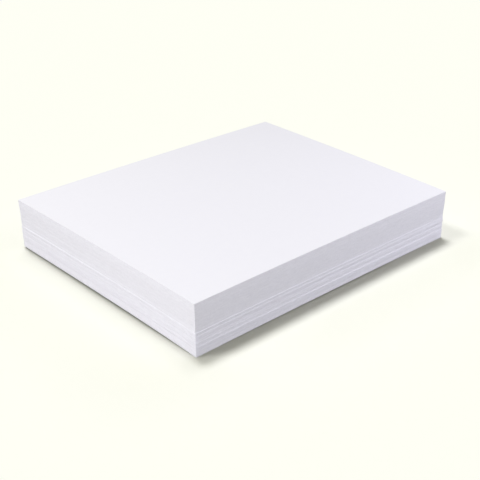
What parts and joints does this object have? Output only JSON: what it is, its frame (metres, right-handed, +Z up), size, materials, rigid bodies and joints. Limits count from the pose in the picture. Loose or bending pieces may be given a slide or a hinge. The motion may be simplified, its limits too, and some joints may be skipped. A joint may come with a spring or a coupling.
{
  "type": "ream of paper",
  "caption": "Unwrapped ream of plain white letter-size office paper, its sheets stacked in slightly uneven lifts.",
  "frame": {"origin": "centre of the foot of the stack, on the surface that it rests on", "axes": "+X along the long edge of the sheets, +Y along the short edge, +Z up through the stack"},
  "size_m": [0.2815, 0.2165, 0.044],
  "materials": {
    "paper": "matte"
  },
  "bodies": {
    "root": {"lift_01": "paper", "lift_02": "paper", "lift_03": "paper", "lift_04": "paper", "lift_05": "paper", "lift_06": "paper", "lift_07": "paper", "lift_08": "paper", "lift_09": "paper", "lift_10": "paper", "lift_11": "paper", "lift_12": "paper", "lift_13": "paper", "lift_14": "paper", "lift_15": "paper"}
  },
  "joints": []
}
